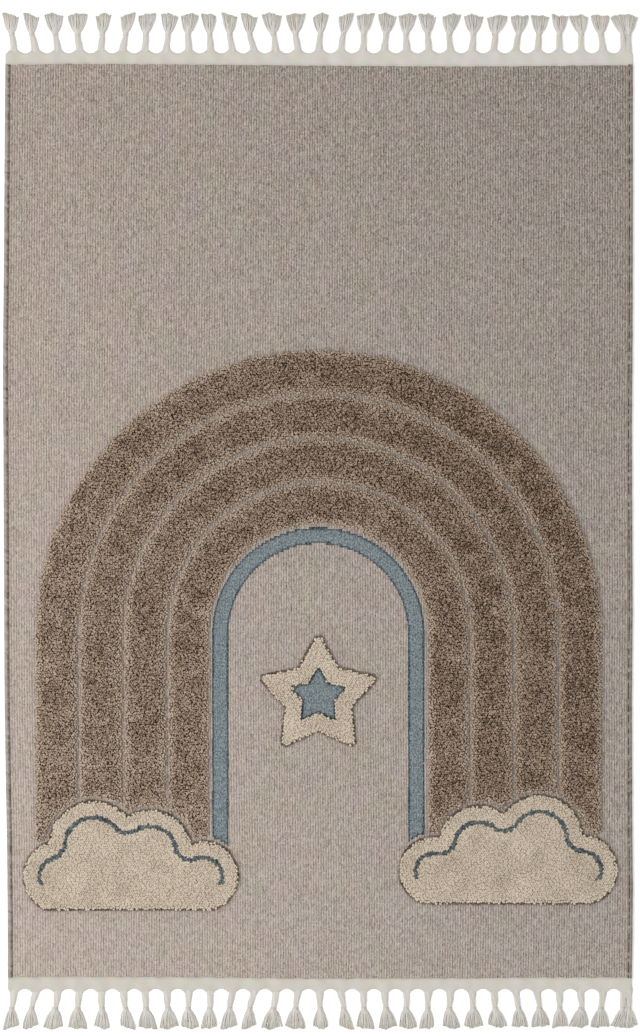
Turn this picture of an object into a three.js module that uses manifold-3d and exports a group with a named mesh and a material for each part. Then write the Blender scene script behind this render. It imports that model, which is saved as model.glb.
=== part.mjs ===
// Kids rug of about 120 by 180 cm, lying flat with a row of tassels at each end.
// The cloth is one piece: a flat woven ground with carved high pile woven into it.
// An overcast edging closes each long side, and a scalloped tape carries each row of tassels.
// Millimetres: +X runs across the rug, +Y along it and +Z up. The floor is z = 0.
import * as THREE from 'three';
import { mergeVertices } from 'three/addons/utils/BufferGeometryUtils.js';
import Module from 'manifold-3d';

const wasm = await Module();
wasm.setup();

// Sizes of the cloth
const RUG_WIDTH = 1200;
const CLOTH_LENGTH = 1750;
const GROUND_THICK = 4;
const PIECE_GAP = 0.3;

// The right edge is straight; the left one swells out in its middle and runs in at the bottom
const EDGE_INSET = 2;
const EDGE_LEAN = 4;
const EDGE_BOW = 7;
const EDGE_STEPS = 24;

// Overcast side edging, a flat-bottomed roll. Its section is in shares of half its width and
// of its thickness.
const EDGING_WIDTH = 9;
const EDGING_THICK = 6;
const EDGING_WAVE = 0.35;
const EDGING_SECTION = [
  { across: -0.35, up: 1 },
  { across: 0.35, up: 1 },
  { across: 1, up: 0.55 },
  { across: 0.75, up: 0 },
  { across: -0.75, up: 0 },
  { across: -1, up: 0.55 },
];

// The design: a rainbow of four arches on straight legs, a cloud over each foot, and a star
const ARCH_CENTRE_Y = -215;
const ARCH_LEG = 430;
const ARCH_BANDS = [
  { outer: 540, inner: 463 },
  { outer: 454, inner: 378 },
  { outer: 369, inner: 294 },
  { outer: 285, inner: 212 },
];
const CLOUDS = [
  {
    x: -370,
    y: -655,
    base: 88,
    lobes: [
      { x: -125, y: -25, radius: 68 },
      { x: -60, y: 35, radius: 84 },
      { x: 48, y: 22, radius: 80 },
      { x: 150, y: -24, radius: 66 },
    ],
  },
  {
    x: 385,
    y: -645,
    base: 86,
    lobes: [
      { x: -165, y: -24, radius: 64 },
      { x: -78, y: 24, radius: 76 },
      { x: 38, y: 38, radius: 82 },
      { x: 120, y: -22, radius: 66 },
    ],
  },
];
const STAR = { x: 0, y: -335, tip: 122, notch: 66, hollowShare: 0.48 };
const STAR_POINTS = 5;
const STAR_BLUNT = 0.93;
const CARVED_CHANNEL = 9;

// Form of the pile: its rim of locks, its shoulders and the lumps of its top
const ARCH_TOP = 13.5;
const CREAM_TOP = 12;
const PILE_ROOT_DEPTH = 1.5;
const RIM_RISE = 5;
const LOCK_REACH = 3.2;
const LOCK_STEP = 33;
const SHOULDER_IN = 6;
const SHOULDER_DROP = 1;
const LUMP_HEIGHT = 0.9;
const CLOUD_STEPS = 60;
const CLOUD_CROWN_IN = 36;
const STAR_STEPS = 50;
const STAR_CROWN_IN = 14;
const CUTTER_HEIGHT = 30;

// Rows of uneven numbers, one for each kind of place, so that no two places wave alike
const UNEVEN_ROWS = { lumps: 7, innerRim: 50, edging: 60, cloud: 70, star: 80 };

// Tape and tassels at each end
const TAPE_WIDTH = 22;
const TAPE_THICK = 2.5;
const SCALLOP_DEPTH = 5;
const SCALLOP = [
  { share: 0.34, rise: 0.6 },
  { share: 0.2, rise: 1 },
];
const SCALLOP_COUNT = 29;
const TASSEL_PITCH = 41.76;
const FIRST_TASSEL_X = -583;
const STEM_LENGTH = 33;

// Stem of a tassel, measured outwards from the edge of the tape
const STEM_STATIONS = [
  { along: -9, width: 14, height: 2.2 },
  { along: 3, width: 17, height: 6 },
  { along: 19, width: 14, height: 8 },
  { along: 34, width: 10.5, height: 6 },
];
const STEM_TOP_SHARE = 0.6;

// The four locks that the stem opens into. Wide is a lock's width and spread the distance
// between two locks, as shares of the fan's width; lean is the share of the fan's own lean.
const LOCK_STATIONS = [
  { along: 48, wide: 0.165, spread: 0.2, height: 5, lean: 0.5 },
  { along: 74, wide: 0.225, spread: 0.265, height: 2.4, lean: 1 },
];
const LOCK_TOP_SHARE = 0.6;

// Forms of tassel: how far the neck and the fan lean, the width of the fan, and how far each of
// the four tips falls short. The first ten repeat along the tape, starting at the ninth.
const REPEATED_FORMS = [
  { neck: -4.8, fan: -8.6, width: 36, tips: [4, 0, 2, 6] },
  { neck: -3.8, fan: -2.9, width: 36, tips: [5, 1, 3, 2] },
  { neck: 1.9, fan: 2.9, width: 28, tips: [7, 3, 0, 4] },
  { neck: 4.8, fan: 10.5, width: 29, tips: [8, 4, 2, 0] },
  { neck: 1.9, fan: 5.7, width: 34, tips: [6, 2, 3, 1] },
  { neck: 2.9, fan: 5.7, width: 33, tips: [3, 0, 4, 7] },
  { neck: -1, fan: 2.9, width: 33, tips: [6, 3, 1, 5] },
  { neck: -1, fan: -2.9, width: 29, tips: [2, 4, 1, 6] },
  { neck: -4.8, fan: -5.7, width: 31, tips: [0, 3, 5, 8] },
  { neck: -8.6, fan: -9.6, width: 28, tips: [1, 2, 6, 9] },
];
const FIRST_FORM = 8;
const REPEATED_COUNT = 20;

// The eight tassels after those, towards the right side
const RIGHT_FORMS = [
  { neck: -1.9, fan: 2.9, width: 33, tips: [6, 2, 0, 3] },
  { neck: 2.9, fan: 2.9, width: 36, tips: [5, 0, 3, 7] },
  { neck: 2.9, fan: 8.6, width: 37, tips: [7, 2, 1, 4] },
  { neck: 6.7, fan: 8.6, width: 31, tips: [3, 1, 5, 2] },
  { neck: 3.8, fan: 5.7, width: 34, tips: [1, 4, 2, 6] },
  { neck: 1, fan: 1.9, width: 31, tips: [0, 5, 3, 4] },
  { neck: 1, fan: -3.8, width: 34, tips: [2, 3, 0, 5] },
  { neck: -3.8, fan: -5.7, width: 36, tips: [1, 0, 4, 2] },
];

// The last place holds two slim tassels side by side
const TWIN_TASSELS = [
  { x: 584, form: { neck: 0, fan: -13, width: 21.5, tips: [6, 2, 4, 0] } },
  { x: 595.3, form: { neck: 0.3, fan: 2.6, width: 27.5, tips: [1, 0, 3, 8] } },
];
const TWIN_STEM_SHARE = 0.6;

// Small even-handed number from -1 to 1 for a place in a row
function uneven(place, row) {
  const wave = Math.sin(place * 12.9898 + row * 78.233) * 43758.5453;
  return 2 * (wave - Math.floor(wave)) - 1;
}

// Closed solid through rings of points, each ring counter-clockwise about the way it goes.
// Its two ends are flat, or closed round a middle point where a ring isn't convex.
function loft(rings, middles = []) {
  const size = rings[0].length;
  const last = (rings.length - 1) * size;
  const triangles = [];
  for (let ring = 0; ring < rings.length - 1; ring += 1) {
    for (let point = 0; point < size; point += 1) {
      const next = (point + 1) % size;
      const here = ring * size;
      const there = here + size;
      triangles.push(here + point, here + next, there + next);
      triangles.push(here + point, there + next, there + point);
    }
  }
  if (middles.length > 0) {
    const low = rings.length * size;
    for (let point = 0; point < size; point += 1) {
      const next = (point + 1) % size;
      triangles.push(low, next, point);
      triangles.push(low + 1, last + point, last + next);
    }
  } else {
    for (let point = 1; point < size - 1; point += 1) {
      triangles.push(0, point + 1, point);
      triangles.push(last, last + point, last + point + 1);
    }
  }
  const points = [...rings.flat(), ...middles];
  return solid(points.flatMap((point) => point.toArray()), triangles);
}

function solid(coordinates, triangles) {
  return new wasm.Manifold(new wasm.Mesh({
    numProp: 3,
    vertProperties: new Float32Array(coordinates),
    triVerts: new Uint32Array(triangles),
  }));
}

// Flat plate of one thickness with its underside at one height
function plate(outline, thickness, underside = 0) {
  const extruded = new THREE.ExtrudeGeometry(new THREE.Shape(outline), {
    depth: thickness,
    bevelEnabled: false,
  });
  extruded.deleteAttribute('normal');
  extruded.deleteAttribute('uv');
  extruded.translate(0, 0, underside);
  const merged = mergeVertices(extruded);
  return solid(merged.attributes.position.array, merged.index.array);
}

function namedMesh(name, manifold, material) {
  const mesh = manifold.getMesh();
  const geometry = new THREE.BufferGeometry();
  geometry.setAttribute('position', new THREE.BufferAttribute(mesh.vertProperties, 3));
  geometry.setIndex(new THREE.BufferAttribute(mesh.triVerts, 1));
  geometry.computeVertexNormals();
  const object = new THREE.Mesh(geometry, material);
  object.name = name;
  return object;
}

// Outer line of the left edge at a height y along the rug
function leftEdge(y) {
  const share = y / CLOTH_LENGTH + 0.5;
  const lean = EDGE_LEAN * (1 - share);
  return -RUG_WIDTH / 2 + EDGE_INSET + lean - EDGE_BOW * Math.sin(Math.PI * share);
}

// Ground of the cloth, between the two side edgings
function ground() {
  const edging = EDGING_WIDTH + PIECE_GAP;
  const right = RUG_WIDTH / 2 - edging;
  const end = CLOTH_LENGTH / 2;
  const outline = [new THREE.Vector2(right, -end), new THREE.Vector2(right, end)];
  for (let step = 0; step <= EDGE_STEPS; step += 1) {
    const y = end - (CLOTH_LENGTH * step) / EDGE_STEPS;
    outline.push(new THREE.Vector2(leftEdge(y) + edging, y));
  }
  return plate(outline, GROUND_THICK);
}

// Place and outward direction on an arch of one radius, a distance along it from its left foot
function onArch(radius, distance) {
  const arc = Math.PI * radius;
  const beyond = distance - ARCH_LEG - arc;
  if (distance < ARCH_LEG) {
    return { x: -radius, y: ARCH_CENTRE_Y - ARCH_LEG + distance, outX: -1, outY: 0 };
  }
  if (beyond > 0) {
    return { x: radius, y: ARCH_CENTRE_Y - beyond, outX: 1, outY: 0 };
  }
  const angle = Math.PI - (distance - ARCH_LEG) / radius;
  const outX = Math.cos(angle);
  const outY = Math.sin(angle);
  return { x: radius * outX, y: ARCH_CENTRE_Y + radius * outY, outX, outY };
}

// One arch of high pile: a lumpy ridge whose rim is uneven where its locks stand out
function pileArch(band, row) {
  const radius = (band.outer + band.inner) / 2;
  const half = (band.outer - band.inner) / 2;
  const length = 2 * ARCH_LEG + Math.PI * radius;
  const steps = Math.round(length / LOCK_STEP);
  const rings = [];
  for (let place = 0; place <= steps; place += 1) {
    const spot = onArch(radius, (length * place) / steps);
    const section = pileSection(half, place, row);
    rings.push(section.map(({ out, z }) => {
      const x = spot.x + spot.outX * out;
      const y = spot.y + spot.outY * out;
      return new THREE.Vector3(x, y, z);
    }));
  }
  return loft(rings);
}

// How far a lock at the rim stands out
function lockReach(place, row) {
  return (LOCK_REACH * (1 + uneven(place, row))) / 2;
}

// Cross-section of a ridge of pile from its outer root over the top to its inner root
function pileSection(half, place, row) {
  const root = GROUND_THICK - PILE_ROOT_DEPTH;
  const rim = GROUND_THICK + RIM_RISE;
  const shoulder = half - SHOULDER_IN;
  const lump = (index) => LUMP_HEIGHT * uneven(place, row + index * UNEVEN_ROWS.lumps);
  return [
    { out: half, z: root },
    { out: half + lockReach(place, row), z: rim },
    { out: shoulder, z: ARCH_TOP - SHOULDER_DROP + lump(1) },
    { out: shoulder / 3, z: ARCH_TOP + lump(2) },
    { out: -shoulder / 3, z: ARCH_TOP + lump(3) },
    { out: -shoulder, z: ARCH_TOP - SHOULDER_DROP + lump(4) },
    { out: -half - lockReach(place, row + UNEVEN_ROWS.innerRim), z: rim },
    { out: -half, z: root },
  ];
}

// How far a cloud reaches from its centre in one direction. Its base is level, and runs from
// under the middle of its first lobe to under the middle of its last.
function cloudReach(cloud, angle) {
  const dirX = Math.cos(angle);
  const dirY = Math.sin(angle);
  const lobes = cloud.lobes;
  const reaches = lobes.map((lobe) => {
    const along = lobe.x * dirX + lobe.y * dirY;
    const aside = lobe.x * dirY - lobe.y * dirX;
    const inside = lobe.radius ** 2 - aside ** 2;
    return inside > 0 ? along + Math.sqrt(inside) : 0;
  });
  const widest = Math.max(...reaches);
  if (dirY >= 0) {
    return widest;
  }
  const toBase = cloud.base / -dirY;
  const across = toBase * dirX;
  const underLobes = across > lobes[0].x && across < lobes[lobes.length - 1].x;
  return underLobes ? toBase : Math.min(widest, toBase);
}

// How far the star reaches from its centre in one direction, with its tips blunt
function starReach(angle) {
  const half = Math.PI / STAR_POINTS;
  const turned = (angle - Math.PI / 2 + 2 * Math.PI) % (2 * half);
  const off = Math.min(turned, 2 * half - turned);
  const edge = STAR.tip * Math.sin(off) + STAR.notch * Math.sin(half - off);
  const straight = (STAR.tip * STAR.notch * Math.sin(half)) / edge;
  return Math.min(straight, STAR.tip * STAR_BLUNT);
}

function directions(steps) {
  return Array.from({ length: steps }, (_, step) => (2 * Math.PI * step) / steps);
}

// Patch of cream pile round a centre: rings that rise from its rim to a lumpy top
function pilePatch(centre, reach, steps, crownIn, row) {
  const levels = [
    { inward: 0, z: GROUND_THICK - PILE_ROOT_DEPTH, locks: 0, lumps: 0 },
    { inward: 0, z: GROUND_THICK + RIM_RISE, locks: 1, lumps: 0 },
    { inward: SHOULDER_IN, z: CREAM_TOP - SHOULDER_DROP, locks: 0, lumps: 1 },
    { inward: crownIn, z: CREAM_TOP, locks: 0, lumps: 1 },
  ];
  const rings = levels.map((level, height) => directions(steps).map((angle, place) => {
    const lock = level.locks * lockReach(place, row);
    const distance = reach(angle) - level.inward + lock;
    const x = centre.x + distance * Math.cos(angle);
    const y = centre.y + distance * Math.sin(angle);
    const lump = level.lumps * LUMP_HEIGHT * uneven(place, row + height);
    return new THREE.Vector3(x, y, level.z + lump);
  }));
  const middles = [
    new THREE.Vector3(centre.x, centre.y, levels[0].z),
    new THREE.Vector3(centre.x, centre.y, CREAM_TOP),
  ];
  return loft(rings, middles);
}

// Upright cutter round a centre, from a height to well above the pile
function cutter(centre, reach, steps, underside) {
  const outline = directions(steps).map((angle) => {
    const distance = reach(angle);
    const x = centre.x + distance * Math.cos(angle);
    const y = centre.y + distance * Math.sin(angle);
    return new THREE.Vector2(x, y);
  });
  return plate(outline, CUTTER_HEIGHT, underside);
}

// The arches stop a carved channel short of the clouds over their feet
function rainbow() {
  const arches = ARCH_BANDS.map((band, row) => pileArch(band, row));
  return CLOUDS.reduce((parts, cloud) => {
    const grown = (angle) => cloudReach(cloud, angle) + CARVED_CHANNEL;
    const clearing = cutter(cloud, grown, CLOUD_STEPS, 0);
    return parts.map((arch) => arch.subtract(clearing));
  }, arches);
}

// The star is a frame of pile round a smaller star of flat weave
function star() {
  const whole = pilePatch(STAR, starReach, STAR_STEPS, STAR_CROWN_IN, UNEVEN_ROWS.star);
  const hollow = (angle) => starReach(angle) * STAR.hollowShare;
  return whole.subtract(cutter(STAR, hollow, STAR_STEPS, GROUND_THICK));
}

function cloth() {
  const clouds = CLOUDS.map((cloud) => {
    const reach = (angle) => cloudReach(cloud, angle);
    return pilePatch(cloud, reach, CLOUD_STEPS, CLOUD_CROWN_IN, UNEVEN_ROWS.cloud);
  });
  const pile = [...rainbow(), ...clouds, star()];
  return pile.reduce((whole, part) => whole.add(part), ground());
}

// Overcast edging along one side: a roll with a flat underside
function edging(side) {
  const half = EDGING_WIDTH / 2;
  const rings = [];
  for (let step = 0; step <= EDGE_STEPS; step += 1) {
    const y = CLOTH_LENGTH * (step / EDGE_STEPS - 0.5);
    const outer = side < 0 ? leftEdge(y) : RUG_WIDTH / 2;
    const centre = outer - side * half;
    const top = EDGING_THICK + EDGING_WAVE * uneven(step, side + UNEVEN_ROWS.edging);
    rings.push(EDGING_SECTION.map(({ across, up }) => (
      new THREE.Vector3(centre + half * across, y, top * up)
    )));
  }
  return loft(rings);
}

// Tape with a scallop under each tassel, at the end of the rug that side names
function tape(side) {
  const left = leftEdge((side * CLOTH_LENGTH) / 2);
  const right = RUG_WIDTH / 2;
  const near = CLOTH_LENGTH / 2 + PIECE_GAP;
  const valley = near + TAPE_WIDTH;
  const edge = [[left, near], [right, near], [right, valley]];
  for (let place = SCALLOP_COUNT - 1; place >= 0; place -= 1) {
    const x = FIRST_TASSEL_X + place * TASSEL_PITCH;
    const hump = ({ share, rise }, way) => {
      const across = Math.min(right, x + way * share * TASSEL_PITCH);
      return [across, valley + rise * SCALLOP_DEPTH];
    };
    SCALLOP.forEach((level) => edge.push(hump(level, 1)));
    [...SCALLOP].reverse().forEach((level) => edge.push(hump(level, -1)));
    if (place > 0) {
      edge.push([x - TASSEL_PITCH / 2, valley]);
    }
  }
  edge.push([left, valley]);
  const outline = edge.map(([x, y]) => new THREE.Vector2(x, side * y));
  return plate(outline, TAPE_THICK);
}

// One tassel in one skin: a four-sided stem whose end is shared out among four locks.
// Sections run from the top left to the bottom left, seen from the rug, and rest on the floor.
function tassel(x, form, side, share) {
  const start = CLOTH_LENGTH / 2 + PIECE_GAP + TAPE_WIDTH + SCALLOP_DEPTH;
  const points = [];
  const triangles = [];
  const add = (across, along, z) => {
    points.push(new THREE.Vector3(x + across, side * (start + along), z));
    return points.length - 1;
  };
  const quad = (a, b, c, d) => triangles.push(a, b, c, a, c, d);
  const join = (here, there) => here.forEach((corner, index) => {
    const next = (index + 1) % here.length;
    quad(corner, here[next], there[next], there[index]);
  });
  const section = (middle, along, half, height, topShare) => [
    add(middle - half * topShare, along, height),
    add(middle + half * topShare, along, height),
    add(middle + half, along, 0),
    add(middle - half, along, 0),
  ];
  const stemLean = (along) => form.neck * Math.max(0, along / STEM_LENGTH);

  const end = STEM_STATIONS[STEM_STATIONS.length - 1];
  const rings = STEM_STATIONS.slice(0, -1).map(({ along, width, height }) => {
    const half = (width / 2) * share * side;
    return section(stemLean(along), along, half, height, STEM_TOP_SHARE);
  });
  quad(rings[0][0], rings[0][3], rings[0][2], rings[0][1]);
  for (let index = 1; index < rings.length; index += 1) {
    join(rings[index - 1], rings[index]);
  }

  const count = form.tips.length;
  const edges = Array.from({ length: count + 1 }, (_, index) => {
    const across = (index / count - 0.5) * end.width * share * side;
    const top = add(stemLean(end.along) + across * STEM_TOP_SHARE, end.along, end.height);
    const bottom = add(stemLean(end.along) + across, end.along, 0);
    return { top, bottom };
  });
  const [topLeft, topRight, bottomRight, bottomLeft] = rings[rings.length - 1];
  const first = edges[0];
  const last = edges[count];
  quad(topRight, bottomRight, last.bottom, last.top);
  quad(bottomLeft, topLeft, first.top, first.bottom);
  edges.slice(1).forEach((edge, index) => {
    const before = edges[index];
    const left = index < count / 2;
    triangles.push(left ? topLeft : topRight, edge.top, before.top);
    triangles.push(left ? bottomLeft : bottomRight, before.bottom, edge.bottom);
  });
  const centre = edges[count / 2];
  triangles.push(topLeft, topRight, centre.top, bottomRight, bottomLeft, centre.bottom);

  form.tips.forEach((short, index) => {
    const rank = (index - (count - 1) / 2) * side;
    const root = [edges[index], edges[index + 1]];
    let here = [root[0].top, root[1].top, root[1].bottom, root[0].bottom];
    LOCK_STATIONS.forEach(({ along, wide, spread, height, lean }) => {
      const middle = form.neck + (form.fan - form.neck) * lean + rank * spread * form.width;
      const half = (wide * form.width * side) / 2;
      const reach = along - short * lean;
      const there = section(middle, reach, half, height, LOCK_TOP_SHARE);
      join(here, there);
      here = there;
    });
    quad(...here);
  });
  return solid(points.flatMap((point) => point.toArray()), triangles);
}

// One end's tape with all its tassels
function fringe(side) {
  const forms = Array.from({ length: REPEATED_COUNT }, (_, place) => (
    REPEATED_FORMS[(place + FIRST_FORM) % REPEATED_FORMS.length]
  ));
  const single = [...forms, ...RIGHT_FORMS].map((form, place) => (
    tassel(FIRST_TASSEL_X + place * TASSEL_PITCH, form, side, 1)
  ));
  const twins = TWIN_TASSELS.map(({ x, form }) => tassel(x, form, side, TWIN_STEM_SHARE));
  return [...single, ...twins].reduce((whole, each) => whole.add(each), tape(side));
}

function woven(color) {
  return new THREE.MeshStandardMaterial({ color, roughness: 0.95, metalness: 0 });
}

const rug = new THREE.Group();
rug.add(namedMesh('rug_cloth', cloth(), woven(0x9a8d81)));
rug.add(namedMesh('side_edging_left', edging(-1), woven(0x8d8177)));
rug.add(namedMesh('side_edging_right', edging(1), woven(0x8d8177)));
rug.add(namedMesh('tassel_tape_top', fringe(1), woven(0xcfc9be)));
rug.add(namedMesh('tassel_tape_bottom', fringe(-1), woven(0xcfc9be)));

// The origin is the middle of the rug's footprint, on the floor
const footprint = new THREE.Box3().setFromObject(rug);
const middle = footprint.getCenter(new THREE.Vector3());
rug.position.set(-middle.x, -middle.y, -footprint.min.z);

export default rug;
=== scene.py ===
# Looks of a kids rug that lies flat: ribbed ground, carved pile, overcast sides and tasselled ends.
# Lengths are millimetres from the middle of the cloth, x across it, y along it and z up from the
# floor. make_piece puts them into the model's own frame, in metres.
from collections import namedtuple
from functools import partial
from math import ceil, cos, pi, sin, sqrt, tau

import bpy
import numpy as np
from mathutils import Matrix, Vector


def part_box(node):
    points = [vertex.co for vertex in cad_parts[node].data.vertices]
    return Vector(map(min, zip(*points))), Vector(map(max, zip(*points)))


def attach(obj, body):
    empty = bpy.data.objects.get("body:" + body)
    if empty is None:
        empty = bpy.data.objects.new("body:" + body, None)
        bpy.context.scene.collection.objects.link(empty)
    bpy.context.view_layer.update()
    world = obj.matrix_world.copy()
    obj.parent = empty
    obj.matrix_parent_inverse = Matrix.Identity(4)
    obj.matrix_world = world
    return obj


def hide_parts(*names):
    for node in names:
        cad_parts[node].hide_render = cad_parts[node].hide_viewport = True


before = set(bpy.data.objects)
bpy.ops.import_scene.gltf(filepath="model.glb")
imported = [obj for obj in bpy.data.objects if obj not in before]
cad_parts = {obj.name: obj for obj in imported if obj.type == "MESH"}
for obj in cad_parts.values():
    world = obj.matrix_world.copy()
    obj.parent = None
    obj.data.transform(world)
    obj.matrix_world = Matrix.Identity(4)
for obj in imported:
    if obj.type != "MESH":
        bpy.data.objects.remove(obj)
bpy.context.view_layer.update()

MM = 0.001

# Sizes of the cloth, the same as in the model's source. Its left side is inset, leans in towards
# its bottom end and bows outwards.
RUG_WIDTH = 1200
CLOTH_LENGTH = 1750
GROUND_THICK = 4
PIECE_GAP = 0.3
EDGE_INSET = 2
EDGE_LEAN = 4
EDGE_BOW = 7
EDGING_WIDTH = 9
EDGING_THICK = 6

# The left (-1) and right (1) sides stray a little from their lines: how far up the cloth, and how
# far to the right
SIDE_STRAY_UP = {
    -1: (0, 0.06, 0.14, 0.3, 0.45, 0.58, 0.67, 0.78, 1),
    1: (0, 0.05, 0.1, 0.16, 0.3, 0.4, 0.5, 0.6, 0.7, 0.85, 1),
}
SIDE_STRAY = {
    -1: (-0.2, 1.2, 1.9, 0.5, 1.1, 0.5, -1, -0.2, -1),
    1: (0, 1.4, 2.1, 1, 0.2, 1.7, 1, 0.1, 1.6, 2.1, 2),
}

# So do the bottom (-1) and top (1) ends, outwards, at these shares of the way across
END_STRAY_ACROSS = (-0.5, -0.39, -0.17, -0.03, 0.18, 0.25, 0.32, 0.5)
END_STRAY = {
    1: (-1, 0.9, -0.8, -2.2, -3.7, -3.7, -3.2, -1),
    -1: (-2, -2.9, -1.5, 0.8, 0.4, 0.3, -0.9, -1.2),
}

# The middle of the cloth lies a little to one side of the model's own origin
SHIFT_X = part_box("side_edging_right")[1][0] / MM - RUG_WIDTH / 2

# Ribs of the ground, and how deep each of a rib's columns of points lies below its crest. The
# whole ground waves a little.
RIB_PITCH = 4.87
RIB_DEPTH = 0.9
RIB_PROFILE = (1.0, 0.2, 0.0, 0.2)
GROUND_ROWS = 40
GROUND_WAVE = 0.12

# A narrow last row at each end keeps the end's rounding from the rest of the top, and the power
# by which the end's unevenness fades away from it
END_ROW = 0.6
END_FADE = 5

# The ground's tone has painted shade: a little lighter towards the key light at its left side and
# bottom end, and darker where its left side meets the edging, as the edging's shadow
GROUND_TONE = 1.2
GROUND_PAINTED_SHADE_RIGHT = 0.38
GROUND_PAINTED_SHADE_UP = 0.42
BESIDE_EDGING = 2.5
EDGING_PAINTED_SHADOW = 0.45
UNDERSIDE_TONE = 0.5

# The design: a rainbow of four arches of pile on straight legs, with a narrow flat one inside
ARCH_CENTRE_Y = -215
ARCH_LEG = 430
ARCH_BANDS = (
    dict(name="outer", outer=540, inner=463),
    dict(name="second", outer=454, inner=378),
    dict(name="third", outer=369, inner=294),
    dict(name="inner", outer=285, inner=212),
)
FLAT_ARCH = dict(outer=203, inner=172)
CARVED_CHANNEL = 9

# A cloud over each foot of the rainbow: its lobes and its level base, from the cloud's centre
LEFT_LOBES = ((-125, -25, 68), (-60, 35, 84), (48, 22, 80), (150, -24, 66))
RIGHT_LOBES = ((-165, -24, 64), (-78, 24, 76), (38, 38, 82), (120, -22, 66))
CLOUDS = (
    dict(name="left", x=-370, y=-655, base=88, lobes=LEFT_LOBES),
    dict(name="right", x=385, y=-645, base=86, lobes=RIGHT_LOBES),
)

# A thin blue line in each cloud, which follows its lobes at this depth and stops above the base
CLOUD_LINE_DEPTH = 30
CLOUD_LINE_WIDTH = 8.5
CLOUD_LINE_ABOVE = -40

# The lobes are traced at steps of this angle, where they are no deeper in the cloud than this
LOBE_STEP = 0.02
LOBE_BARE = 0.05

# A star of five points, with its tips cut at a share of their reach. In its middle is a flat one
# of a share of its size, whose weave is laid out this far round.
STAR_X = 0
STAR_Y = -335
STAR_TIP = 122
STAR_NOTCH = 66
STAR_POINTS = 5
STAR_BLUNT = 0.93
STAR_HOLLOW = 0.48
HOLLOW_REACH = 70

# Heights of the pile and of what it stands in
ARCH_TOP = 13.5
CREAM_TOP = 12
PILE_ROOT = GROUND_THICK - 1.5

# Tape and tassels at each end
TAPE_WIDTH = 22
TAPE_THICK = 2.5
SCALLOP_DEPTH = 5
TASSEL_PITCH = 41.76
FIRST_TASSEL_X = -583
TASSEL_START = CLOTH_LENGTH / 2 + PIECE_GAP + TAPE_WIDTH + SCALLOP_DEPTH
STEM_LENGTH = 33
NECK_ALONG = 30
TASSEL_LENGTH = 72.2

# Stem of a tassel: how far along from the tape, how wide and how high
STEM_ALONG = (-9, 0, 5, 17, 30, 38)
STEM_WIDTHS = (16, 14.2, 12.4, 10.9, 8.8, 5)
STEM_HEIGHTS = (2.2, 2.8, 3.5, 4.1, 4.3, 1.5)
NECK_WIDTH = 8.8

# Forms of tassel: how far the neck and the fan lean, the width of the fan, and how far each of
# four places across the fan falls short. The first ten come twice, and the twins have their own
# places.
REPEATED_FORMS = (
    (-4.8, -5.7, 31, (0, 3, 5, 8)),
    (-8.6, -9.6, 28, (1, 2, 6, 9)),
    (-4.8, -8.6, 36, (4, 0, 2, 6)),
    (-3.8, -2.9, 36, (5, 1, 3, 2)),
    (1.9, 2.9, 28, (7, 3, 0, 4)),
    (4.8, 10.5, 29, (8, 4, 2, 0)),
    (1.9, 5.7, 34, (6, 2, 3, 1)),
    (2.9, 5.7, 33, (3, 0, 4, 7)),
    (-1, 2.9, 33, (6, 3, 1, 5)),
    (-1, -2.9, 29, (2, 4, 1, 6)),
)
RIGHT_FORMS = (
    (-1.9, 2.9, 33, (7, 3, 1, 4)),
    (2.9, 2.9, 36, (7, 2, 5, 8)),
    (2.9, 8.6, 37, (9, 5, 4, 7)),
    (6.7, 8.6, 31, (7, 4, 8, 5)),
    (3.8, 5.7, 34, (5, 7, 5, 9)),
    (1, 1.9, 31, (3, 8, 6, 7)),
    (1, -3.8, 34, (6, 6, 3, 8)),
    (-3.8, -5.7, 36, (5, 4, 7, 6)),
)
TASSEL_FORMS = 2 * REPEATED_FORMS + RIGHT_FORMS
TWIN_TASSELS = (
    (583.6, 0, -13, 21.5, (8, 5, 7, 3)),
    (594.4, 0.3, 3, 27.5, (4, 3, 5, 9)),
)
TWIN_STEM_SHARE = 0.92

# The tassels of a tape from the left: place, form and the share of a full stem
Tassel = namedtuple("Tassel", "x neck fan width short share")
TASSELS = [
    Tassel(FIRST_TASSEL_X + number * TASSEL_PITCH, *form, 1)
    for number, form in enumerate(TASSEL_FORMS)
]
TASSELS += [Tassel(*twin, TWIN_STEM_SHARE) for twin in TWIN_TASSELS]

# The camera looks straight down. The picture's middle and height, on the floor.
VIEW_MIDDLE = (-0.45, 6.2)
VIEW_HEIGHT = 1984.3
CAMERA_HEIGHT = 6000
SENSOR = 36

# Where the random draws of each kind of piece start
SEEDS = dict(arch=100, cloud=200, star=300, edging=400, fringe=500)


# Small helpers for uneven things
WAVE_COUNT = 6
WAVE_LENGTHS = (0.7, 1.6)


def waves(x, y, length, seed):
    """Smooth unevenness from about -1 to 1 whose swells are roughly a length apart."""
    rng = np.random.default_rng(seed)
    total = 0
    for _ in range(WAVE_COUNT):
        way = rng.uniform(0, tau)
        step = tau / (length * rng.uniform(*WAVE_LENGTHS))
        phase = rng.uniform(0, tau)
        total = total + np.sin(step * (x * cos(way) + y * sin(way)) + phase)
    return total / (WAVE_COUNT / 2)


def side_edge(y, side):
    """Outer line of the rug's left (-1) or right (1) side."""
    share = y / CLOTH_LENGTH + 0.5
    line = side * RUG_WIDTH / 2 + np.interp(share, SIDE_STRAY_UP[side], SIDE_STRAY[side])
    if side > 0:
        return line
    return line + EDGE_INSET + EDGE_LEAN * (1 - share) - EDGE_BOW * np.sin(pi * share)


def end_line(x, side):
    """How far from the middle the cloth ends, at its bottom (-1) or top (1) end."""
    return CLOTH_LENGTH / 2 + np.interp(x / RUG_WIDTH, END_STRAY_ACROSS, END_STRAY[side])


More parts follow.
